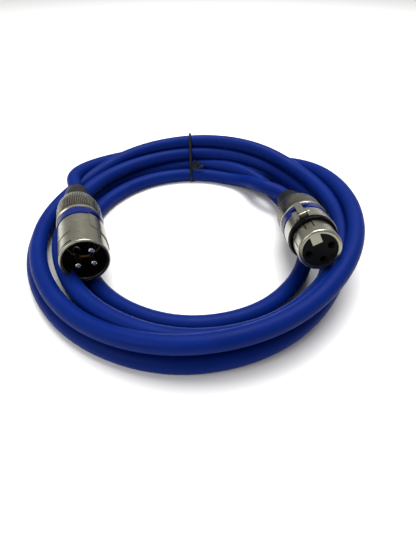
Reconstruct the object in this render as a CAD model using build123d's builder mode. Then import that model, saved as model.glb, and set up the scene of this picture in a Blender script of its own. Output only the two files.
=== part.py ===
from build123d import *
from math import cos, pi, radians, sin
import os

# Microphone cable with a male and a female three-pin connector, lying coiled and tied. Millimetres, +Z up.
# The origin is on the surface that the coil rests on, under the middle of the whole cable, and the tie is on +Y.
# Each connector is drawn about its own axis, which runs out of its mouth; "back" is the distance behind the mouth.

# ---- driving dimensions ----------------------------------------------------------------------------------------

CABLE_R = 3.5
SHELL_R = 9.5
NOSE_R = 7.95
PIN_R = 1.2
PIN_CIRCLE_R = 4.3

# where the connectors lie: middle of the mouth, turn from -Y towards +X, and tilt of the mouth upwards, in degrees
MALE_MOUTH = (-37.9, -41.5, 18.6)
MALE_TURN = 18.9
MALE_TILT = 4.9
FEMALE_MOUTH = (49.6, -44.5, 26.4)
FEMALE_TURN = -0.4
FEMALE_TILT = 14.5

# angles about a connector's axis, counter-clockwise from its right as seen from in front
MALE_KEY_ANGLE = 132.0
FEMALE_KEY_ANGLE = 117.0
MALE_RING_ANGLE = 30.0

# lengths along a connector
MALE_SHELL_LENGTH = 21.0
FEMALE_SHELL_LENGTH = 19.6
RING_LENGTH = 6.0
NECK_LENGTH = 13.0
BACKSHELL_START = RING_LENGTH + 0.2
BACKSHELL_LENGTH = 20.0
BOOT_LENGTH = 14.5
CABLE_END_START = NECK_LENGTH + 1.0
CABLE_END_LENGTH = 34.5

# radii shared by the housings and what fits on and in them
NECK_R = 8.2
NECK_BORE_R = 7.0
RING_BORE_R = 8.25
RING_R = 9.65
THREAD_BORE_R = 8.27
BACKSHELL_R = 9.8
BACKSHELL_END_R = 6.8
BACKSHELL_POCKET_R = 7.3
BOOT_R = 6.6
BOOT_END_R = 5.2
BOOT_BORE_R = 3.58
BOOT_NECK_R = 5.6
RIB_COUNT = 80
RIB_DEPTH = 0.28

# contacts
SOCKET_BORE_R = 1.22
SOCKET_R = 1.45
CUP_BORE_R = 0.95
CUP_START = 2.0
CUP_LENGTH = 5.0
WIRE_R = 0.85

# latch lever of the female connector
LEVER_WIDTH = 2.6
LEVER_CHANNEL = 3.5
LEVER_TONGUE_START = 4.8
PIVOT_BACK = 16.5
PIVOT_HEIGHT = 8.8
PIVOT_R = 0.5
PIVOT_BORE_R = 0.55
PIVOT_PIN_LENGTH = 5.8
SPRING_BACK = 13.2
SPRING_LOW = 5.6
SPRING_WIRE_R = 0.14

# the coil of cable: its middle, and its section at twelve places round it, counter-clockwise from +X, each as
# inner radius, outer radius, underside and top; an underside below zero is cut flat where the coil rests
COIL_MIDDLE = (0.0, -2.5)
COIL_SECTIONS = [
    (51.0, 77.0, -0.4, 16.0),
    (47.0, 78.5, -0.4, 17.5),
    (45.0, 82.0, -0.4, 18.0),
    (58.0, 83.0, 1.8, 19.5),
    (46.0, 84.5, -0.4, 18.0),
    (46.0, 81.5, -0.4, 15.5),
    (43.0, 76.5, -0.4, 13.5),
    (43.0, 73.0, -0.4, 14.0),
    (44.0, 73.0, -0.4, 14.0),
    (50.0, 79.0, -0.4, 15.0),
    (55.0, 83.0, -0.4, 17.5),
    (60.0, 80.0, -0.4, 17.5),
]
COIL_CORNER_R = 5.0

# the wire that ties the coil
TIE_R = 0.7

# ---- connector frames ------------------------------------------------------------------------------------------


class Connector:
    """Planes of one connector, worked out from where its mouth is and how it is turned and tilted."""

    def __init__(self, name, mouth, turn, tilt, shell_length, key_angle, ring_angle):
        across = cos(radians(tilt))
        forward = Vector(sin(radians(turn)) * across, -cos(radians(turn)) * across, sin(radians(tilt)))
        right = Vector(cos(radians(turn)), sin(radians(turn)), 0)
        self.name = name
        self.shell_length = shell_length
        self.key_angle = key_angle
        self.ring_angle = ring_angle
        self.mouth = Plane(origin=mouth, x_dir=right, z_dir=forward)
        self.axis = Axis(origin=mouth, direction=forward)

    def section(self, back):
        """Plane across the axis: X to the right and Y up as seen from in front, Z towards the mouth."""
        return self.mouth.offset(-back)

    def turned(self, angle, back=0.0):
        """Plane across the axis with its Y pointing outwards at this angle."""
        section = self.section(back)
        outwards = section.x_dir * cos(radians(angle)) + section.y_dir * sin(radians(angle))
        return Plane(origin=section.origin, x_dir=outwards.cross(section.z_dir), z_dir=section.z_dir)

    def lengthwise(self, angle=90.0):
        """Plane through the axis: X is back from the mouth and Y is outwards at this angle."""
        across = self.turned(angle)
        return Plane(origin=across.origin, x_dir=-across.z_dir, z_dir=across.x_dir)

    def facing(self, angle):
        """Plane through the axis: X is back from the mouth, Y runs round the shell and Z is outwards at this angle."""
        across = self.turned(angle)
        return Plane(origin=across.origin, x_dir=-across.z_dir, z_dir=across.y_dir)

    def point(self, back, right=0.0, up=0.0):
        """A point given along and across the connector."""
        return self.section(back).from_local_coords(Vector(right, up, 0))


male = Connector("male", MALE_MOUTH, MALE_TURN, MALE_TILT, MALE_SHELL_LENGTH, MALE_KEY_ANGLE, MALE_RING_ANGLE)
female = Connector(
    "female", FEMALE_MOUTH, FEMALE_TURN, FEMALE_TILT, FEMALE_SHELL_LENGTH, FEMALE_KEY_ANGLE, FEMALE_KEY_ANGLE
)

# contact 3 is opposite the key, with contacts 1 and 2 a quarter turn either side of it
contact_turns = {1: 90.0, 2: -90.0, 3: 180.0}


def contact_centre(connector, number):
    """Where a contact crosses a section plane, as right and up."""
    angle = radians(connector.key_angle + contact_turns[number])
    return (PIN_CIRCLE_R * cos(angle), PIN_CIRCLE_R * sin(angle))


os.makedirs("parts", exist_ok=True)

# ---- male connector: shell, insert and pins ---------------------------------------------------------------------

CAVITY_R = 8.15
SEAT_BACK = MALE_SHELL_LENGTH - 1.0
WINDOW_HALF_ANGLE = 25.0
PANEL_R = SHELL_R + 0.35
PANEL_ANGLE = 21.0

with BuildPart() as shell_panel:
    with BuildSketch(male.lengthwise()):
        with Locations((MALE_SHELL_LENGTH / 2 + 2, (PANEL_R + SHELL_R - 0.4) / 2)):
            Rectangle(MALE_SHELL_LENGTH - 4, PANEL_R - SHELL_R + 0.4)
    revolve(axis=male.axis)
    with BuildSketch(male.facing(PANEL_ANGLE)):
        with BuildLine():
            Polyline((6.6, -5.2), (11.5, 6.2), (MALE_SHELL_LENGTH, 6.2), (MALE_SHELL_LENGTH, -5.2), close=True)
        make_face()
    extrude(amount=SHELL_R + 3, mode=Mode.INTERSECT)

with BuildPart() as male_shell:
    with BuildSketch(male.lengthwise()):
        with BuildLine():
            Polyline(
                (0, CAVITY_R),
                (0, SHELL_R),
                (MALE_SHELL_LENGTH, SHELL_R),
                (MALE_SHELL_LENGTH, NECK_R),
                (MALE_SHELL_LENGTH + NECK_LENGTH, NECK_R),
                (MALE_SHELL_LENGTH + NECK_LENGTH, NECK_BORE_R),
                (SEAT_BACK, NECK_BORE_R),
                (SEAT_BACK, CAVITY_R),
                close=True,
            )
        make_face()
    revolve(axis=male.axis)
    fillet(male_shell.edges().group_by(male.axis)[-1], 0.45)
    add(shell_panel.part)
    # the latch window is a slit close behind the rim, with a shallow pressed field behind it
    with BuildSketch(male.lengthwise(MALE_KEY_ANGLE - WINDOW_HALF_ANGLE)):
        with Locations((1.75, SHELL_R)):
            Rectangle(0.8, 4)
        with Locations((6.1, SHELL_R + 0.8)):
            Rectangle(6.2, 2)
    revolve(axis=male.axis, revolution_arc=2 * WINDOW_HALF_ANGLE, mode=Mode.SUBTRACT)

male_shell.part.label = "male_shell"
export_step(male_shell.part, "parts/male_shell.step")

INSERT_FRONT = 14.0
INSERT_R = 8.1
STUB_R = 6.9
SHANK_R = 1.45

with BuildPart() as male_insert:
    with BuildSketch(male.lengthwise()):
        with BuildLine():
            Polyline(
                (INSERT_FRONT, 0),
                (INSERT_FRONT, INSERT_R),
                (SEAT_BACK, INSERT_R),
                (SEAT_BACK, STUB_R),
                (MALE_SHELL_LENGTH + CUP_START, STUB_R),
                (MALE_SHELL_LENGTH + CUP_START, 0),
                close=True,
            )
        make_face()
    revolve(axis=male.axis)
    with BuildSketch(male.section(INSERT_FRONT)):
        with Locations(*[contact_centre(male, number) for number in contact_turns]):
            Circle(SHANK_R)
    extrude(amount=-12, mode=Mode.SUBTRACT)
    # a groove round the front face, between the pins and the wall
    with BuildSketch(male.section(INSERT_FRONT)):
        Circle(INSERT_R - 0.5)
        Circle(INSERT_R - 1.5, mode=Mode.SUBTRACT)
    extrude(amount=-0.6, mode=Mode.SUBTRACT)

male_insert.part.label = "male_insert"
export_step(male_insert.part, "parts/male_insert.step")

PIN_FRONT = 1.5
PIN_TIP_FILLET = 0.55
DIMPLE_R = 0.42
DIMPLE_DEPTH = 0.7
SHANK_FRONT = INSERT_FRONT - 0.1


def make_male_contact(number):
    """A round pin with a dimpled, rounded tip, and a thicker shank with a solder cup in its back end."""
    centre = contact_centre(male, number)
    cup_end = MALE_SHELL_LENGTH + CUP_START + CUP_LENGTH
    with BuildPart() as contact:
        with BuildSketch(male.section(PIN_FRONT)):
            with Locations(centre):
                Circle(PIN_R)
        extrude(amount=PIN_FRONT - SHANK_FRONT)
        fillet(contact.edges().group_by(male.axis)[-1], PIN_TIP_FILLET)
        with BuildSketch(male.section(PIN_FRONT)):
            with Locations(centre):
                Circle(DIMPLE_R)
        extrude(amount=-DIMPLE_DEPTH, mode=Mode.SUBTRACT)
        with BuildSketch(male.section(SHANK_FRONT)):
            with Locations(centre):
                Circle(SHANK_R)
        extrude(amount=SHANK_FRONT - cup_end)
        with BuildSketch(male.section(cup_end)):
            with Locations(centre):
                Circle(CUP_BORE_R)
        extrude(amount=CUP_LENGTH - 1, mode=Mode.SUBTRACT)
    contact.part.label = f"male_contact_{number}"
    export_step(contact.part, f"parts/male_contact_{number}.step")


for number in contact_turns:
    make_male_contact(number)

# ---- female connector: housing, insert and sockets --------------------------------------------------------------

NOSE_LENGTH = 11.5
NOSE_BORE_R = 6.52
SHOULDER_START = 9.7
FLANGE_BACK = 18.0
FLANGE_R = 6.9
INSERT_FACE = 0.4
KEY_WIDTH = 3.65
KEY_BOTTOM = 2.8
KEY_THICKNESS = 2.6
CHANNEL_END = 18.0

with BuildPart() as female_housing:
    with BuildSketch(female.lengthwise()):
        with BuildLine():
            Polyline(
                (0, NOSE_BORE_R),
                (0, NOSE_R),
                (NOSE_LENGTH, NOSE_R),
                (NOSE_LENGTH, SHELL_R),
                (FEMALE_SHELL_LENGTH, SHELL_R),
                (FEMALE_SHELL_LENGTH, NECK_R),
                (FEMALE_SHELL_LENGTH + NECK_LENGTH, NECK_R),
                (FEMALE_SHELL_LENGTH + NECK_LENGTH, NECK_BORE_R),
                (FLANGE_BACK, NECK_BORE_R),
                (FLANGE_BACK, NOSE_BORE_R),
                close=True,
            )
        make_face()
    revolve(axis=female.axis)
    fillet(female_housing.edges().group_by(female.axis)[-1].sort_by(SortBy.LENGTH)[-1], 0.8)
    # the key is a square tab that reaches in from the nose's wall, just behind the rim
    with BuildSketch(female.turned(FEMALE_KEY_ANGLE, 0.1)):
        with Locations((0, (KEY_BOTTOM + NOSE_R - 0.6) / 2)):
            Rectangle(KEY_WIDTH, NOSE_R - 0.6 - KEY_BOTTOM)
    extrude(amount=-KEY_THICKNESS)
    # a raised guard beside the latch lever
    with BuildSketch(female.turned(FEMALE_KEY_ANGLE, NOSE_LENGTH + 0.3)):
        with Locations((-2.6, 8.6)):
            Rectangle(1.7, 2.1)
    extrude(amount=-(FEMALE_SHELL_LENGTH - NOSE_LENGTH - 0.6))
    # the channel that the lever lies in, and the bores for its pivot pin
    with BuildSketch(female.turned(FEMALE_KEY_ANGLE, LEVER_TONGUE_START - 0.15)):
        with Locations((0, 8.5)):
            Rectangle(LEVER_CHANNEL, 5)
    extrude(amount=-(CHANNEL_END - LEVER_TONGUE_START), mode=Mode.SUBTRACT)
    with BuildSketch(female.lengthwise(FEMALE_KEY_ANGLE)):
        with Locations((PIVOT_BACK, PIVOT_HEIGHT)):
            Circle(PIVOT_R)
    extrude(amount=PIVOT_PIN_LENGTH / 2 + 0.1, both=True, mode=Mode.SUBTRACT)
    # a shallow keyway along the nose's left side
    with BuildSketch(female.turned(168, 0.9)):
        with Locations((0, NOSE_R)):
            Rectangle(2.6, 0.7)
    extrude(amount=-(SHOULDER_START - 0.9), mode=Mode.SUBTRACT)

female_housing.part.label = "female_housing"
export_step(female_housing.part, "parts/female_housing.step")

with BuildPart() as female_insert:
    with BuildSketch(female.lengthwise()):
        with BuildLine():
            Polyline(
                (INSERT_FACE, 0),
                (INSERT_FACE, NOSE_BORE_R - 0.04),
                (FLANGE_BACK, NOSE_BORE_R - 0.04),
                (FLANGE_BACK, FLANGE_R),
                (FEMALE_SHELL_LENGTH + CUP_START, FLANGE_R),
                (FEMALE_SHELL_LENGTH + CUP_START, 0),
                close=True,
            )
        make_face()
    revolve(axis=female.axis)
    with BuildSketch(female.section(INSERT_FACE)):
        with Locations(*[contact_centre(female, number) for number in contact_turns]):
            Circle(SOCKET_R)
    extrude(amount=-24, mode=Mode.SUBTRACT)
    # the notch that the key tab fills, and the hollow under the latch lever
    with BuildSketch(female.turned(FEMALE_KEY_ANGLE, INSERT_FACE)):
        with Locations((0, KEY_BOTTOM - 0.1 + 2.5)):
            Rectangle(KEY_WIDTH + 0.2, 5)
    extrude(amount=-(KEY_THICKNESS + 0.3), mode=Mode.SUBTRACT)
    with BuildSketch(female.turned(FEMALE_KEY_ANGLE, LEVER_TONGUE_START - 0.3)):
        with Locations((0, SPRING_LOW + 0.8)):
            Rectangle(LEVER_CHANNEL, 2.4)
    extrude(amount=-(CHANNEL_END - LEVER_TONGUE_START), mode=Mode.SUBTRACT)

female_insert.part.label = "female_insert"
export_step(female_insert.part, "parts/female_insert.step")

SOCKET_FRONT = 1.9
SOCKET_DEPTH = 12.0
SOCKET_SLOT = 0.35


def make_female_contact(number):
    """A slotted tube that grips a pin, and a solder cup on its back end."""
    centre = contact_centre(female, number)
    cup_end = FEMALE_SHELL_LENGTH + CUP_START + CUP_LENGTH
    with BuildPart() as contact:
        with BuildSketch(female.section(SOCKET_FRONT)):
            with Locations(centre):
                Circle(SOCKET_R)
        extrude(amount=SOCKET_FRONT - cup_end)
        with BuildSketch(female.section(SOCKET_FRONT)):
            with Locations(centre):
                Circle(SOCKET_BORE_R)
        extrude(amount=-SOCKET_DEPTH, mode=Mode.SUBTRACT)
        with BuildSketch(female.section(SOCKET_FRONT)):
            with Locations(centre):
                Rectangle(SOCKET_SLOT, 2 * SOCKET_R + 1)
        extrude(amount=-4.0, mode=Mode.SUBTRACT)
        with BuildSketch(female.section(cup_end)):
            with Locations(centre):
                Circle(CUP_BORE_R)
        extrude(amount=CUP_LENGTH - 1, mode=Mode.SUBTRACT)
    contact.part.label = f"female_contact_{number}"
    export_step(contact.part, f"parts/female_contact_{number}.step")


for number in contact_turns:
    make_female_contact(number)

SHOULDER_R = 9.2

with BuildPart() as female_shoulder_ring:
    with BuildSketch(female.lengthwise()):
        with Locations(((SHOULDER_START + NOSE_LENGTH) / 2, (NOSE_R + SHOULDER_R) / 2)):
            Rectangle(NOSE_LENGTH - SHOULDER_START, SHOULDER_R - NOSE_R)
    revolve(axis=female.axis)
    outer_edges = female_shoulder_ring.edges().filter_by(GeomType.CIRCLE).sort_by(SortBy.RADIUS)[-2:]
    fillet(outer_edges.group_by(female.axis)[-1], 0.9)
    fillet(female_shoulder_ring.edges().group_by(female.axis)[0].sort_by(SortBy.RADIUS)[-1], 0.5)

female_shoulder_ring.part.label = "female_shoulder_ring"
export_step(female_shoulder_ring.part, "parts/female_shoulder_ring.step")

# ---- latch of the female connector ------------------------------------------------------------------------------

LEVER_REAR = 25.3
PAD_START = 12.0
PAD_TOP = 11.1
BAR_TOP = 10.6
BAR_UNDERSIDE = 9.95
TONGUE_TOP = 7.85
TONGUE_UNDERSIDE = 6.95

with BuildPart() as latch_lever:
    with BuildSketch(female.lengthwise(FEMALE_KEY_ANGLE)):
        with BuildLine():
            Polyline(
                (LEVER_TONGUE_START, TONGUE_UNDERSIDE),
                (LEVER_TONGUE_START, TONGUE_TOP),
                (SHOULDER_START - 0.5, TONGUE_TOP),
                (SHOULDER_START - 0.3, TONGUE_TOP - 0.35),
                (PAD_START, TONGUE_TOP - 0.35),
                (PAD_START, PAD_TOP - 0.2),
                (PAD_START + 0.3, PAD_TOP),
                (PAD_START + 2.2, PAD_TOP),
                (PAD_START + 2.8, BAR_TOP),
                (LEVER_REAR, BAR_TOP),
                (LEVER_REAR, BAR_UNDERSIDE),
                (PIVOT_BACK + 1.1, BAR_UNDERSIDE),
                (PIVOT_BACK + 1.1, PIVOT_HEIGHT - 0.9),
                (PIVOT_BACK - 1.3, PIVOT_HEIGHT - 1.1),
                (PIVOT_BACK - 1.3, TONGUE_UNDERSIDE),
                close=True,
            )
        make_face()
        with Locations((PIVOT_BACK, PIVOT_HEIGHT)):
            Circle(PIVOT_BORE_R, mode=Mode.SUBTRACT)
    extrude(amount=LEVER_WIDTH / 2, both=True)

latch_lever.part.label = "latch_lever"
export_step(latch_lever.part, "parts/latch_lever.step")

with BuildPart() as latch_pivot_pin:
    with BuildSketch(female.lengthwise(FEMALE_KEY_ANGLE)):
        with Locations((PIVOT_BACK, PIVOT_HEIGHT)):
            Circle(PIVOT_R)
    extrude(amount=PIVOT_PIN_LENGTH / 2, both=True)

latch_pivot_pin.part.label = "latch_pivot_pin"
export_step(latch_pivot_pin.part, "parts/latch_pivot_pin.step")

SPRING_COIL_R = 0.8
SPRING_HEIGHT = TONGUE_UNDERSIDE - SPRING_LOW - 2 * SPRING_WIRE_R - 0.2
spring_foot = female.lengthwise(FEMALE_KEY_ANGLE).from_local_coords(Vector(SPRING_BACK, SPRING_LOW, 0))
outwards = female.turned(FEMALE_KEY_ANGLE).y_dir
spring_plane = Plane(origin=spring_foot + outwards * (SPRING_WIRE_R + 0.1), z_dir=outwards)

with BuildPart() as latch_spring:
    with BuildLine(spring_plane):
        turns = Helix(pitch=SPRING_HEIGHT / 3, height=SPRING_HEIGHT, radius=SPRING_COIL_R)
    with BuildSketch(Plane(origin=turns @ 0, z_dir=turns % 0)):
        Circle(SPRING_WIRE_R)
    sweep(path=turns, is_frenet=True)

latch_spring.part.label = "latch_spring"
export_step(latch_spring.part, "parts/latch_spring.step")

# ---- pieces that both connectors have ---------------------------------------------------------------------------


def make_coding_ring(connector):
    """Colour ring on the neck, stepped down at its front edge, with a flat on one side that clears the latch."""
    start = connector.shell_length
    end = start + RING_LENGTH
    with BuildPart() as ring:
        with BuildSketch(connector.lengthwise()):
            with BuildLine():
                Polyline(
                    (start, RING_BORE_R),
                    (start, RING_R - 0.35),
                    (start + 0.9, RING_R - 0.35),
                    (start + 1.1, RING_R),
                    (end - 0.2, RING_R),
                    (end, RING_R - 0.2),
                    (end, RING_BORE_R),
                    close=True,
                )
            make_face()
        revolve(axis=connector.axis)
        with BuildSketch(connector.turned(connector.ring_angle, start)):
            with Locations((0, RING_R)):
                Rectangle(8.4, 2 * (RING_R - RING_BORE_R) - 0.9)
        extrude(amount=-(RING_LENGTH - 2.8), mode=Mode.SUBTRACT)
    ring.part.label = f"{connector.name}_coding_ring"
    export_step(ring.part, f"parts/{connector.name}_coding_ring.step")


def ribbed_outline(radius):
    """Corners of a toothed circle: a ridge and a furrow for each rib."""
    corners = []
    for tooth in range(RIB_COUNT):
        for share, level in ((0.0, radius), (0.35, radius), (0.5, radius - RIB_DEPTH), (0.85, radius - RIB_DEPTH)):
            angle = 2 * pi * (tooth + share) / RIB_COUNT
            corners.append((level * cos(angle), level * sin(angle)))
    return corners


def make_backshell(connector):
    """Screw-on sleeve: a smooth lip, then a ribbed bell that closes on the boot."""
    start = connector.shell_length + BACKSHELL_START
    end = start + BACKSHELL_LENGTH
    bell = [
        (start + 2.8, BACKSHELL_R),
        (start + 11.0, BACKSHELL_R - 0.1),
        (start + 14.6, BACKSHELL_R - 0.6),
        (start + 17.4, BACKSHELL_R - 1.4),
        (start + 19.2, BACKSHELL_R - 2.4),
        (end, BACKSHELL_END_R),
    ]
    with BuildPart() as backshell:
        for back, radius in bell:
            with BuildSketch(connector.section(back)):
                Polygon(*ribbed_outline(radius), align=None)
        loft(ruled=True)
        with BuildSketch(connector.lengthwise()):
            with BuildLine():
                Polyline(
                    (start, 0),
                    (start, BACKSHELL_R - 0.25),
                    (start + 0.35, BACKSHELL_R + 0.1),
                    (start + 1.7, BACKSHELL_R + 0.1),
                    (start + 2.1, BACKSHELL_R - 0.5),
                    (start + 2.8, BACKSHELL_R - 0.5),
                    (start + 2.8, 0),
                    close=True,
                )
            make_face()
        revolve(axis=connector.axis)
        with BuildSketch(connector.lengthwise()):
            with BuildLine():
                Polyline(
                    (start - 1, 0),
                    (start - 1, THREAD_BORE_R),
                    (start + 8.3, THREAD_BORE_R),
                    (start + 8.3, BACKSHELL_POCKET_R),
                    (end - 1.8, BACKSHELL_POCKET_R),
                    (end - 1.8, BOOT_NECK_R + 0.3),
                    (end + 1, BOOT_NECK_R + 0.3),
                    (end + 1, 0),
                    close=True,
                )
            make_face()
        revolve(axis=connector.axis, mode=Mode.SUBTRACT)
    backshell.part.label = f"{connector.name}_backshell"
    export_step(backshell.part, f"parts/{connector.name}_backshell.step")


def make_boot(connector):
    """Rubber bend relief: a flange caught inside the backshell, a neck through its end and a taper on the cable."""
    backshell_end = connector.shell_length + BACKSHELL_START + BACKSHELL_LENGTH
    end = backshell_end + BOOT_LENGTH
    with BuildPart() as boot:
        with BuildSketch(connector.lengthwise()):
            with BuildLine():
                outline = Polyline(
                    (backshell_end - 5.0, BOOT_BORE_R),
                    (backshell_end - 5.0, NECK_BORE_R),
                    (backshell_end - 2.0, NECK_BORE_R),
                    (backshell_end - 2.0, BOOT_NECK_R),
                    (backshell_end + 0.2, BOOT_NECK_R),
                    (backshell_end + 0.2, BOOT_R),
                    (end - 1.3, BOOT_END_R),
                )
                Polyline(
                    outline @ 1,
                    (end - 0.4, BOOT_END_R - 0.25),
                    (end, BOOT_END_R - 0.7),
                    (end, BOOT_BORE_R),
                    (backshell_end - 5.0, BOOT_BORE_R),
                )
            make_face()
        revolve(axis=connector.axis)
    boot.part.label = f"{connector.name}_boot"
    export_step(boot.part, f"parts/{connector.name}_boot.step")


def make_chuck(connector):
    """Split collet that the backshell squeezes onto the cable's jacket."""
    start = connector.shell_length + NECK_LENGTH
    with BuildPart() as chuck:
        with BuildSketch(connector.lengthwise()):
            with BuildLine():
                Polyline(
                    (start, CABLE_R),
                    (start, NECK_R - 0.3),
                    (start + 1.2, NECK_R - 0.3),
                    (start + 1.2, 6.3),
                    (start + 3.0, 6.3),
                    (start + 7.0, 5.2),
                    (start + 7.0, CABLE_R),
                    close=True,
                )
            make_face()
        revolve(axis=connector.axis)
        with BuildSketch(connector.turned(connector.key_angle, start + 2.2)):
            Rectangle(0.8, 16)
            Rectangle(16, 0.8)
        extrude(amount=-6, mode=Mode.SUBTRACT)
    chuck.part.label = f"{connector.name}_chuck"
    export_step(chuck.part, f"parts/{connector.name}_chuck.step")


def make_wires(connector):
    """Three insulated conductors, from the cut end of the jacket to the solder cups."""
    cup_end = connector.shell_length + CUP_START + CUP_LENGTH
    jacket_end = connector.shell_length + CABLE_END_START
    with BuildPart() as wires:
        for number in contact_turns:
            right, up = contact_centre(connector, number)
            gather = 1.75 / PIN_CIRCLE_R
            with BuildLine():
                path = FilletPolyline(
                    connector.point(cup_end - 2.0, right, up),
                    connector.point(cup_end + 1.2, right, up),
                    connector.point(jacket_end - 1.6, right * gather, up * gather),
                    connector.point(jacket_end, right * gather, up * gather),
                    radius=1.5,
                )
            with BuildSketch(Plane(origin=path @ 0, z_dir=path % 0)):
                Circle(WIRE_R)
            sweep(path=path)
    wires.part.label = f"{connector.name}_wires"
    export_step(wires.part, f"parts/{connector.name}_wires.step")


def make_cable_end(connector):
    """The straight end of the cable: from the chuck through the boot, with room for its travel, into the coil."""
    start = connector.shell_length + CABLE_END_START
    with BuildPart() as cable_end:
        with BuildSketch(connector.section(start)):
            Circle(CABLE_R)
        extrude(amount=-CABLE_END_LENGTH)
    cable_end.part.label = f"{connector.name}_cable_end"
    export_step(cable_end.part, f"parts/{connector.name}_cable_end.step")


for connector in (male, female):
    make_coding_ring(connector)
    make_backshell(connector)
    make_boot(connector)
    make_chuck(connector)
    make_wires(connector)
    make_cable_end(connector)

# ---- the coiled cable --------------------------------------------------------------------------------------------

# between the twelve places the section's four numbers follow a smooth closed curve, in steps of ten degrees
STEPS_BETWEEN = 3
SECTION_COUNT = STEPS_BETWEEN * len(COIL_SECTIONS)


def between(before, low, high, after, share):
    """A value on the smooth curve through four neighbours, at this share of the way between the middle two."""
    bend = 2 * before - 5 * low + 4 * high - after
    twist = 3 * low - before - 3 * high + after
    return low + 0.5 * share * (high - before + share * (bend + share * twist))


def coil_section(step):
    """Inner radius, outer radius, underside and top of the coil at one of the sections."""
    place, rest = divmod(step, STEPS_BETWEEN)
    neighbours = [COIL_SECTIONS[(place + shift) % len(COIL_SECTIONS)] for shift in (-1, 0, 1, 2)]
    return [between(*values, rest / STEPS_BETWEEN) for values in zip(*neighbours)]


def coil_plane(step, radius, height):
    """Plane across the coil: X outwards and Y up."""
    angle = 2 * pi * step / SECTION_COUNT
    outwards = Vector(cos(angle), sin(angle), 0)
    origin = Vector(*COIL_MIDDLE, height) + outwards * radius
    return Plane(origin=origin, x_dir=outwards, z_dir=Vector(sin(angle), -cos(angle), 0))


def make_coil_half(first):
    """Half of the ring, as a solid through its sections."""
    with BuildPart() as half:
        for step in range(first, first + SECTION_COUNT // 2 + 1):
            inner, outer, low, high = coil_section(step % SECTION_COUNT)
            with BuildSketch(coil_plane(step, (inner + outer) / 2, (low + high) / 2)):
                RectangleRounded(outer - inner, high - low, COIL_CORNER_R)
        loft(ruled=True)
    return half.part


CONNECTOR_CLEARANCE = 0.5

with BuildPart() as cable_coil:
    add(make_coil_half(0))
    add(make_coil_half(SECTION_COUNT // 2))
    split(bisect_by=Plane.XY, keep=Keep.TOP)
    # the connectors lie in hollows in the coil, with their boots
    for connector in (male, female):
        with BuildSketch(connector.section(-3)):
            Circle(BACKSHELL_R + 0.1 + CONNECTOR_CLEARANCE)
        extrude(amount=-(connector.shell_length + BACKSHELL_START + BACKSHELL_LENGTH + 9), mode=Mode.SUBTRACT)
        with BuildSketch(connector.section(connector.shell_length + BACKSHELL_START)):
            Circle(BOOT_R + 0.3 + CONNECTOR_CLEARANCE)
        extrude(amount=-(BACKSHELL_LENGTH + BOOT_LENGTH + 6.6), mode=Mode.SUBTRACT)

cable_coil.part.label = "cable_coil"
export_step(cable_coil.part, "parts/cable_coil.step")

# ---- the tie -----------------------------------------------------------------------------------------------------

# a coated wire round the coil's back, tight on its section, with its twisted ends splayed on the inner side
TIE_STEP = SECTION_COUNT // 4
TIE_ENDS = [(5.0, -2.2, 2.6), (5.6, -2.6, 0.2), (4.4, -2.4, -2.4)]

inner, outer, low, high = coil_section(TIE_STEP)
tie_plane = coil_plane(TIE_STEP, (inner + outer) / 2, (low + high) / 2)
tie_knot = tie_plane.from_local_coords(Vector((inner - outer) / 2 - TIE_R, 0, 0))

with BuildPart() as cable_tie:
    with BuildSketch(tie_plane):
        RectangleRounded(outer - inner + 4 * TIE_R, high - low + 4 * TIE_R, COIL_CORNER_R + 2 * TIE_R)
        RectangleRounded(outer - inner, high - low, COIL_CORNER_R, mode=Mode.SUBTRACT)
    extrude(amount=TIE_R, both=True)
    for end in TIE_ENDS:
        tie_end = Vector(*end)
        with BuildSketch(Plane(origin=tie_knot, z_dir=tie_end)):
            Circle(TIE_R)
        extrude(amount=tie_end.length)

cable_tie.part.label = "cable_tie"
export_step(cable_tie.part, "parts/cable_tie.step")
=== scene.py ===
import math

import bmesh
import bpy
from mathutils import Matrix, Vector


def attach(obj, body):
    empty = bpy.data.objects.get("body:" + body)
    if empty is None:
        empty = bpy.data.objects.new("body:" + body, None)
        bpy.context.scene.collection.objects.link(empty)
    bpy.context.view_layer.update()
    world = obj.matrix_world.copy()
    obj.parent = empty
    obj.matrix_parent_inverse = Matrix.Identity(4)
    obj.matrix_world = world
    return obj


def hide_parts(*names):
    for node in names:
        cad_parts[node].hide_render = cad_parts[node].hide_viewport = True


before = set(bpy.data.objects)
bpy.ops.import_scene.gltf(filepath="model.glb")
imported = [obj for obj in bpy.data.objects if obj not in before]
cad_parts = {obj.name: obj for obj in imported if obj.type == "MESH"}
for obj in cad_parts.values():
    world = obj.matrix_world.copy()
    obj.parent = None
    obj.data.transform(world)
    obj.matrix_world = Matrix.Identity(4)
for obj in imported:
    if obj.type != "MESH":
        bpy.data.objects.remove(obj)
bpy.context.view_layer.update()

# Coiled blue microphone cable with its two three-pin connectors, tied with a twist of coated wire.
# Everything is in metres, in the CAD model's frame: +Z up, the coil resting on Z = 0 and the tie on +Y.
# Values that are easier to read in mm are multiplied by MM.

MM = 0.001

# ---- where things are ---------------------------------------------------------------------------------

COIL_MIDDLE = Vector((0.0, -2.5, 0.0)) * MM
CABLE_R = 3.5 * MM


class Connector:
    """A connector's own axis: the middle of its mouth, and forward, right and up from there."""

    def __init__(self, name, mouth, turn, tilt, boot_start):
        turn, tilt = math.radians(turn), math.radians(tilt)
        self.name = name
        self.mouth = Vector(mouth) * MM
        across = math.cos(tilt)
        self.forward = Vector((math.sin(turn) * across, -math.cos(turn) * across, math.sin(tilt)))
        self.right = Vector((math.cos(turn), math.sin(turn), 0.0))
        self.up = self.forward.cross(self.right)
        self.boot_start = boot_start * MM

    def point(self, back, radius=0.0, angle=0.0):
        """The point this far behind the mouth and from the axis, at an angle from the right, in metres."""
        outwards = self.right * math.cos(angle) + self.up * math.sin(angle)
        return self.mouth - self.forward * back + outwards * radius


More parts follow.
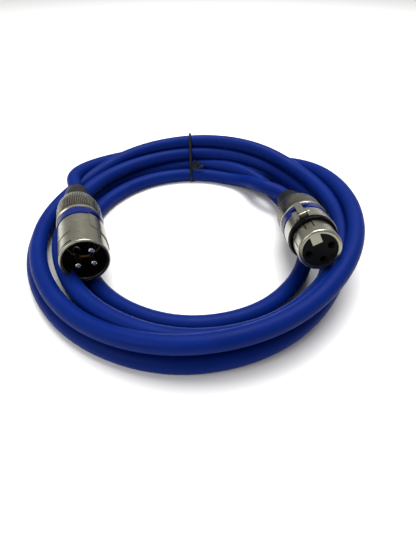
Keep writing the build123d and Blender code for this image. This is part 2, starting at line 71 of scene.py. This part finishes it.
male = Connector("male", mouth=(-37.9, -41.5, 18.6), turn=18.9, tilt=4.9, boot_start=47.2)
female = Connector("female", mouth=(49.6, -44.5, 26.4), turn=-0.4, tilt=14.5, boot_start=45.8)

# ---- camera, light and floor --------------------------------------------------------------------------

CAMERA_PLACE = Vector((9.0, -144.5, 110.0)) * MM
CAMERA_DOWN = math.radians(44.2)
VIEW_ACROSS = math.radians(60.0)
FLOOR_REACH = 3.0


def add_camera():
    """Close above the front of the coil, looking down at its middle."""
    data = bpy.data.cameras.new("camera")
    data.sensor_fit = "HORIZONTAL"
    data.angle = VIEW_ACROSS
    data.clip_start = 0.005
    camera = bpy.data.objects.new("camera", data)
    camera.location = CAMERA_PLACE
    camera.rotation_euler = (math.pi / 2 - CAMERA_DOWN, 0.0, 0.0)
    bpy.context.scene.collection.objects.link(camera)
    bpy.context.scene.camera = camera


def add_softbox(name, place, target, size, power):
    """A square area light aimed at a point."""
    data = bpy.data.lights.new(name, "AREA")
    data.size = size
    data.energy = power
    light = bpy.data.objects.new(name, data)
    light.location = place
    light.rotation_euler = (Vector(target) - Vector(place)).to_track_quat("-Z", "Y").to_euler()
    bpy.context.scene.collection.objects.link(light)


def add_studio():
    """An even white room, a large softbox overhead and a weaker one from the front left."""
    world = bpy.data.worlds.new("studio")
    world.use_nodes = True
    background = world.node_tree.nodes["Background"]
    background.inputs["Color"].default_value = (1.0, 0.99, 0.97, 1.0)
    background.inputs["Strength"].default_value = 0.42
    bpy.context.scene.world = world
    bpy.context.scene.view_settings.view_transform = "Standard"
    add_softbox("overhead", (0.05, 0.25, 0.75), (0.0, 0.0, 0.0), 0.6, 11.0)
    add_softbox("front_left", (-0.6, -0.5, 0.6), (0.0, 0.0, 0.0), 0.4, 3.0)


def add_floor():
    """White paper under the coil, reaching past every view."""
    mesh = bpy.data.meshes.new("floor")
    reach = FLOOR_REACH
    corners = [(-reach, -reach, 0.0), (reach, -reach, 0.0), (reach, reach, 0.0), (-reach, reach, 0.0)]
    mesh.from_pydata(corners, [], [(0, 1, 2, 3)])
    floor = bpy.data.objects.new("floor", mesh)
    bpy.context.scene.collection.objects.link(floor)
    paint, _, shader = new_material("floor_paper")
    shader.inputs["Base Color"].default_value = (0.86, 0.86, 0.86, 1.0)
    shader.inputs["Roughness"].default_value = 0.9
    shader.inputs["Specular IOR Level"].default_value = 0.1
    mesh.materials.append(paint)


# ---- materials ----------------------------------------------------------------------------------------


def new_material(name):
    """A material with its node tree and its shader."""
    paint = bpy.data.materials.new(name)
    paint.use_nodes = True
    return paint, paint.node_tree, paint.node_tree.nodes["Principled BSDF"]


def noise(tree, scale, detail):
    """Noise in the piece's own space: scale is in features per metre."""
    place = tree.nodes.new("ShaderNodeTexCoord")
    texture = tree.nodes.new("ShaderNodeTexNoise")
    texture.inputs["Scale"].default_value = scale
    texture.inputs["Detail"].default_value = detail
    tree.links.new(place.outputs["Object"], texture.inputs["Vector"])
    return texture.outputs["Fac"]


def vary(tree, shader, socket, source, low, high):
    """Drives a number of the shader between two values with a noise."""
    spread = tree.nodes.new("ShaderNodeMapRange")
    spread.inputs["From Min"].default_value = 0.3
    spread.inputs["From Max"].default_value = 0.7
    spread.inputs["To Min"].default_value = low
    spread.inputs["To Max"].default_value = high
    tree.links.new(source, spread.inputs["Value"])
    tree.links.new(spread.outputs["Result"], shader.inputs[socket])


def blend_colours(tree, shader, source, first, second):
    """Blends the base colour between two colours with a noise."""
    ramp = tree.nodes.new("ShaderNodeValToRGB")
    ramp.color_ramp.elements[0].position = 0.35
    ramp.color_ramp.elements[0].color = (*first, 1.0)
    ramp.color_ramp.elements[1].position = 0.65
    ramp.color_ramp.elements[1].color = (*second, 1.0)
    tree.links.new(source, ramp.inputs["Fac"])
    tree.links.new(ramp.outputs["Color"], shader.inputs["Base Color"])


def bump(tree, shader, heights):
    """Bumps in a chain: each is a noise, a strength and a depth in metres."""
    normal = None
    for source, strength, depth in heights:
        node = tree.nodes.new("ShaderNodeBump")
        node.inputs["Strength"].default_value = strength
        node.inputs["Distance"].default_value = depth
        tree.links.new(source, node.inputs["Height"])
        if normal is not None:
            tree.links.new(normal, node.inputs["Normal"])
        normal = node.outputs["Normal"]
    tree.links.new(normal, shader.inputs["Normal"])


def make_metal(name, first, second, smooth, rough):
    """Plated metal: a cloudy tone, uneven polish, a fine grain and a slight ripple."""
    paint, tree, shader = new_material(name)
    shader.inputs["Metallic"].default_value = 1.0
    cloud = noise(tree, 180.0, 4.0)
    blend_colours(tree, shader, cloud, first, second)
    vary(tree, shader, "Roughness", noise(tree, 420.0, 5.0), smooth, rough)
    ripple = (noise(tree, 200.0, 1.0), 0.02, 0.0001)
    grain = (noise(tree, 3500.0, 1.0), 0.02, 0.00001)
    bump(tree, shader, [ripple, grain])
    return paint


def make_plastic(name, first, second, smooth, rough, grain, shine=0.3):
    """Moulded plastic or rubber: two close tones, a satin surface and a fine texture."""
    paint, tree, shader = new_material(name)
    blend_colours(tree, shader, noise(tree, 240.0, 4.0), first, second)
    vary(tree, shader, "Roughness", noise(tree, 600.0, 4.0), smooth, rough)
    shader.inputs["Specular IOR Level"].default_value = shine
    ripple = (noise(tree, 300.0, 2.0), 0.1, 0.0002)
    texture = (noise(tree, 2600.0, 2.0), grain, 0.00003)
    bump(tree, shader, [ripple, texture])
    return paint


def make_jacket():
    """The cable's jacket: deep royal blue PVC, satin and slightly uneven, with a fine grain."""
    paint, tree, shader = new_material("blue_pvc_jacket")
    blend_colours(tree, shader, noise(tree, 60.0, 4.0), (0.0012, 0.0110, 0.112), (0.0016, 0.0135, 0.128))
    vary(tree, shader, "Roughness", noise(tree, 240.0, 5.0), 0.40, 0.52)
    shader.inputs["Specular IOR Level"].default_value = 0.045
    ripple = (noise(tree, 130.0, 2.0), 0.15, 0.0004)
    grain = (noise(tree, 3000.0, 3.0), 0.18, 0.00003)
    bump(tree, shader, [ripple, grain])
    return paint


NICKEL = make_metal("satin_nickel", (0.31, 0.30, 0.235), (0.345, 0.335, 0.265), 0.26, 0.33)
# painted shade: a dark copy of the nickel for the recesses and hollows where shade falls
SHADED_NICKEL = make_metal("shaded_nickel", (0.035, 0.030, 0.023), (0.055, 0.048, 0.036), 0.30, 0.38)
# painted reflection: warm brown metal on the groove of the black male insert, standing for a warm reflection
# there
GROOVE_REFLECTION = make_metal("groove_painted_reflection", (0.40, 0.27, 0.16), (0.50, 0.35, 0.21), 0.30, 0.40)
SILVER = make_metal("silvered_pin", (0.60, 0.58, 0.54), (0.68, 0.66, 0.62), 0.16, 0.24)
# painted shade: the female sockets' metal is darkened for the shade of the deep holes they sit in
SHADED_SOCKET = make_metal("socket_painted_shade", (0.16, 0.15, 0.13), (0.24, 0.23, 0.20), 0.18, 0.30)
STEEL = make_metal("spring_steel", (0.50, 0.50, 0.50), (0.62, 0.62, 0.61), 0.20, 0.32)
RING_BLUE = make_plastic(
    "blue_ring", (0.004, 0.011, 0.088), (0.006, 0.014, 0.10),
    0.24, 0.34, 0.03, shine=0.06,
)
INSERT_BLACK = make_plastic(
    "insert_black", (0.003, 0.0035, 0.0035), (0.0055, 0.006, 0.006),
    0.50, 0.64, 0.08, shine=0.1,
)
GLOSS_BLACK = make_plastic(
    "gloss_black", (0.002, 0.002, 0.0025), (0.0035, 0.0035, 0.004),
    0.08, 0.13, 0.01, shine=0.03,
)
RUBBER = make_plastic(
    "boot_rubber", (0.005, 0.006, 0.007), (0.009, 0.010, 0.012),
    0.46, 0.60, 0.2, shine=0.14,
)
CHUCK_BLACK = make_plastic("chuck_black", (0.02, 0.02, 0.02), (0.035, 0.035, 0.035), 0.45, 0.6, 0.25)
WIRE_RED = make_plastic("wire_insulation", (0.40, 0.03, 0.025), (0.50, 0.05, 0.04), 0.35, 0.45, 0.1)
TIE_BLACK = make_plastic(
    "tie_coating", (0.004, 0.004, 0.005), (0.008, 0.008, 0.009),
    0.36, 0.48, 0.2, shine=0.15,
)
JACKET = make_jacket()

NODE_MATERIALS = {
    "male_shell": NICKEL,
    "female_housing": NICKEL,
    "latch_lever": NICKEL,
    "latch_pivot_pin": STEEL,
    "latch_spring": STEEL,
    "female_shoulder_ring": GLOSS_BLACK,
}
for side, contact_metal in (("male", SILVER), ("female", SHADED_SOCKET)):
    NODE_MATERIALS[f"{side}_coding_ring"] = RING_BLUE
    NODE_MATERIALS[f"{side}_backshell"] = NICKEL
    NODE_MATERIALS[f"{side}_insert"] = INSERT_BLACK
    NODE_MATERIALS[f"{side}_chuck"] = CHUCK_BLACK
    NODE_MATERIALS[f"{side}_wires"] = WIRE_RED
    for number in (1, 2, 3):
        NODE_MATERIALS[f"{side}_contact_{number}"] = contact_metal


CREASE_ANGLE = 24.0

# a backshell's front edge lies this far before its boot. Its lip ends this far behind the edge, and then
# come a groove and the ribbed bell. Radii are from the connector's axis. All in mm
BACKSHELL_BEFORE_BOOT = 20.0
LIP_END = 1.9
BELL_START = 2.8
LIP_GROOVE_R = 9.5
BELL_RIDGES = [(2.8, 9.8), (11.0, 9.7), (14.6, 9.2), (17.4, 8.4), (19.2, 7.4), (20.0, 6.8)]
FURROW_DEPTH = 0.1

# the male mouth's cavity, and the groove in the face of the insert at its bottom, in mm
MOUTH_WALL_R = 8.75
MOUTH_DEPTH = 20.5
INSERT_GROOVE_INNER_R = 6.5
INSERT_GROOVE_OUTER_R = 7.7
INSERT_GROOVE_BACK = 14.8


def ridge_radius(back):
    """Radius of the bell's ridges this far behind the backshell's front edge, in mm."""
    for (start, first), (end, second) in zip(BELL_RIDGES, BELL_RIDGES[1:]):
        if back <= end:
            return first + (second - first) * (back - start) / (end - start)
    return BELL_RIDGES[-1][1]


def shade_hollows(connector, name, in_hollow, paint):
    """A second material, for painted shade and a painted reflection, on the faces in hollows, told by their
    distance back and from the axis, in mm.
    """
    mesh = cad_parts[name].data
    mesh.materials.append(paint)
    for face in mesh.polygons:
        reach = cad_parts[name].matrix_world @ face.center - connector.mouth
        back = -reach.dot(connector.forward)
        radius = (reach + connector.forward * back).length
        if in_hollow(back / MM, radius / MM):
            face.material_index = 1


def shade_backshell(connector):
    """Paints shade into the groove behind a backshell's lip and the furrows between its ribs."""
    start = connector.boot_start / MM - BACKSHELL_BEFORE_BOOT

    def in_hollow(back, radius):
        behind = back - start
        if LIP_END < behind < BELL_START:
            return radius < LIP_GROOVE_R
        return behind >= BELL_START and radius < ridge_radius(behind) - FURROW_DEPTH

    shade_hollows(connector, f"{connector.name}_backshell", in_hollow, SHADED_NICKEL)


def shade_male_mouth():
    """Paints shade onto the wall of the male mouth, and paints a warm reflection into the groove in its
    insert.
    """
    shade_hollows(
        male, "male_shell",
        lambda back, radius: radius < MOUTH_WALL_R and back < MOUTH_DEPTH,
        SHADED_NICKEL,
    )
    shade_hollows(
        male, "male_insert",
        lambda back, radius: (
            INSERT_GROOVE_INNER_R < radius < INSERT_GROOVE_OUTER_R and back < INSERT_GROOVE_BACK
        ),
        GROOVE_REFLECTION,
    )


def finish_cad_nodes():
    """Gives each kept CAD node its material, with smooth round faces and crisp edges."""
    for name, paint in NODE_MATERIALS.items():
        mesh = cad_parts[name].data
        mesh.materials.clear()
        mesh.materials.append(paint)
        mesh.polygons.foreach_set("material_index", [0] * len(mesh.polygons))
        mesh.polygons.foreach_set("use_smooth", [True] * len(mesh.polygons))
        mesh.set_sharp_from_angle(angle=math.radians(CREASE_ANGLE))


# ---- the cable ----------------------------------------------------------------------------------------

# The coil's turns run clockwise as seen from above, from the male connector to the female one's lead, in
# steps of a twelfth of a turn, counted from -X. The cable comes in at the first step and leaves at the last.
STATIONS = 12
FIRST_STEP = 1
LAST_STEP = 64

# The whole coil is a little oval: this much further out, in mm, along its long axis than it is on average
OVAL = 3.0
OVAL_ALONG = math.radians(110)

# A turn starts on its own circle and eases into the next one, and the last row is what the last turn heads
# for. Each row is radius, shift to +X and shift to +Y, in mm
TURN_CIRCLES = [
    (71, 3, 7),
    (72, 2, -3),
    (62, 2, -2),
    (74, 0, -2),
    (62, 0, 2),
    (52, 0, -2),
    (62, 2, 4),
]

# the lead between the last turn and the female connector, in mm
FEMALE_LEAD = [(36.0, 28.0, 11.5), (46.0, 21.0, 11.5)]

# the cable's control points on each connector's axis, in mm behind the mouth, in the order of the cable
MALE_STRAIGHT = (36.0, 46.0, 56.0, 62.5)
FEMALE_STRAIGHT = (60.5, 54.0, 45.0, 34.6)


def turn_angle(step):
    """Direction of a step from the coil's middle."""
    return math.pi - 2 * math.pi * step / STATIONS


def turn_radius(step):
    """How far out the cable lies: each turn eases from its own circle to the next one's."""
    turn, place = divmod(step, STATIONS)
    share = place / STATIONS
    radius, across, back = (a + (b - a) * share for a, b in zip(TURN_CIRCLES[turn], TURN_CIRCLES[turn + 1]))
    angle = turn_angle(step)
    oval = OVAL * math.cos(2 * (angle - OVAL_ALONG))
    return (radius + across * math.cos(angle) + back * math.sin(angle) + oval) * MM


def lay_coil():
    """Radius and height at each step: the last turn on the floor, the others on those under them."""
    laid = {}
    for step in reversed(range(FIRST_STEP, LAST_STEP + 1)):
        out = turn_radius(step)
        height = CABLE_R
        for below in range(step + STATIONS, LAST_STEP + 1, STATIONS):
            apart = out - laid[below][0]
            if abs(apart) < 2 * CABLE_R:
                height = max(height, laid[below][1] + math.sqrt(4 * CABLE_R ** 2 - apart ** 2))
        laid[step] = (out, height)
    return laid


def coil_points():
    """The coil's control points, a little outside the curve, which cuts the corners between them."""
    points = []
    for step, (out, height) in sorted(lay_coil().items()):
        angle = turn_angle(step)
        reach = out / math.cos(math.pi / STATIONS)
        points.append(COIL_MIDDLE + Vector((reach * math.cos(angle), reach * math.sin(angle), height)))
    return points


def add_curve(name, points, radius, paint, closed=False):
    """A round smooth cord through control points."""
    data = bpy.data.curves.new(name, "CURVE")
    data.dimensions = "3D"
    data.bevel_depth = radius
    data.bevel_resolution = 10
    data.use_fill_caps = not closed
    spline = data.splines.new("NURBS")
    spline.points.add(len(points) - 1)
    for control, point in zip(spline.points, points):
        control.co = (*point, 1.0)
    spline.order_u = 3
    spline.use_endpoint_u = not closed
    spline.use_cyclic_u = closed
    spline.resolution_u = 10
    piece = bpy.data.objects.new(name, data)
    data.materials.append(paint)
    bpy.context.scene.collection.objects.link(piece)
    return piece


def add_cable():
    """The whole cable as one cord, from chuck to chuck."""
    start = [male.point(back * MM) for back in MALE_STRAIGHT]
    end = [female.point(back * MM) for back in FEMALE_STRAIGHT]
    lead = [Vector(point) * MM for point in FEMALE_LEAD]
    cable = add_curve("cable", start + coil_points() + lead + end, CABLE_R, JACKET)
    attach(cable, "root")
    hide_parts("cable_coil", "male_cable_end", "female_cable_end")


# ---- boots --------------------------------------------------------------------------------------------

# Outline of a boot, as distance behind the boot's start and radius, in mm: the flange and neck inside the
# backshell, the shoulder, the long taper, the rounded end, and the bore back to the front
BOOT_OUTLINE = [
    (-4.9, 3.55), (-4.9, 6.8), (-2.1, 6.8), (-2.1, 5.5), (0.2, 5.5),
    (0.25, 6.3), (0.6, 6.6),
    (2.0, 6.55), (5.0, 6.35), (9.0, 5.95), (12.0, 5.5),
    (13.4, 5.15), (14.2, 4.7), (14.5, 4.2), (14.4, 3.75),
    (13.6, 3.52), (8.0, 3.52), (2.0, 3.52),
]
BOOT_LENGTH = 14.5
BOOT_SEGMENTS = 64
BOOT_CREASE_ANGLE = 50.0


def add_boot(connector, bend):
    """Rubber bend relief: a rounded taper on the cable, its end bent sideways by this many mm."""
    mesh = bpy.data.meshes.new(f"{connector.name}_rubber_boot")
    form = bmesh.new()
    rings = []
    for back, radius in BOOT_OUTLINE:
        lean = bend * MM * max(back / BOOT_LENGTH, 0.0) ** 2
        ring = []
        for step in range(BOOT_SEGMENTS):
            angle = 2 * math.pi * step / BOOT_SEGMENTS
            point = connector.point(connector.boot_start + back * MM, radius * MM, angle)
            ring.append(form.verts.new(point + connector.right * lean))
        rings.append(ring)
    for ring, following in zip(rings, rings[1:] + rings[:1]):
        for step in range(BOOT_SEGMENTS):
            after = (step + 1) % BOOT_SEGMENTS
            form.faces.new((ring[step], ring[after], following[after], following[step]))
    bmesh.ops.recalc_face_normals(form, faces=form.faces)
    form.to_mesh(mesh)
    form.free()
    mesh.polygons.foreach_set("use_smooth", [True] * len(mesh.polygons))
    mesh.set_sharp_from_angle(angle=math.radians(BOOT_CREASE_ANGLE))
    mesh.materials.append(RUBBER)
    boot = bpy.data.objects.new(mesh.name, mesh)
    bpy.context.scene.collection.objects.link(boot)
    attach(boot, f"{connector.name}_relief")
    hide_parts(f"{connector.name}_boot")


# ---- the tie ------------------------------------------------------------------------------------------

# the tie crosses the coil at this one of the stations, at +Y
TIE_PLACE = 3
TIE_R = 0.75 * MM
TIE_SEGMENTS = 40

# the tie leans: its shift to +X at the inner and the outer side of the coil, and where those sides are
TIE_LEAN_INSIDE = -1.0 * MM
TIE_LEAN_OUTSIDE = -2.4 * MM
TIE_INSIDE = 55.0 * MM
TIE_OUTSIDE = 85.0 * MM

# the knot from the coil's middle, and the twisted ends from the knot, in mm
TIE_KNOT = Vector((-1.0, 55.6, 8.4)) * MM
TIE_ENDS = {
    "upper": [(0.8, -0.6, 1.2), (2.0, -0.4, 2.8), (3.0, 0.4, 4.4)],
    "middle": [(1.2, -0.9, 0.6), (2.8, -1.0, 1.8), (4.8, -0.4, 3.4)],
    "lower": [(1.6, -1.0, 0.2), (4.0, -1.4, 0.6), (7.4, -0.8, 1.4)],
}


def add_tie():
    """A loop of coated wire, tight round the turns at the back, with its twisted ends splayed inwards."""
    centres = [lay for step, lay in lay_coil().items() if step % STATIONS == TIE_PLACE]
    reach = CABLE_R + TIE_R * 0.3
    points = []
    for step in range(TIE_SEGMENTS):
        angle = 2 * math.pi * step / TIE_SEGMENTS
        outwards = (math.cos(angle), math.sin(angle))
        furthest = max(centres, key=lambda centre: centre[0] * outwards[0] + centre[1] * outwards[1])
        out = furthest[0] + reach * outwards[0]
        height = furthest[1] + reach * outwards[1]
        share = (out - TIE_INSIDE) / (TIE_OUTSIDE - TIE_INSIDE)
        lean = TIE_LEAN_INSIDE + (TIE_LEAN_OUTSIDE - TIE_LEAN_INSIDE) * share
        points.append(COIL_MIDDLE + Vector((lean, out, max(height, TIE_R * 1.2))))
    loop = add_curve("wire_tie", points, TIE_R, TIE_BLACK, closed=True)
    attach(loop, "root")
    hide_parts("cable_tie")
    knot = COIL_MIDDLE + TIE_KNOT
    for name, steps_out in TIE_ENDS.items():
        route = [knot] + [knot + Vector(step) * MM for step in steps_out]
        prong = add_curve(f"wire_tie_{name}_end", route, TIE_R, TIE_BLACK)
        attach(prong, "root")


# ---- build --------------------------------------------------------------------------------------------

add_camera()
add_studio()
add_floor()
finish_cad_nodes()
shade_backshell(male)
shade_backshell(female)
shade_male_mouth()
add_cable()
add_boot(male, bend=0.4)
add_boot(female, bend=-1.0)
add_tie()
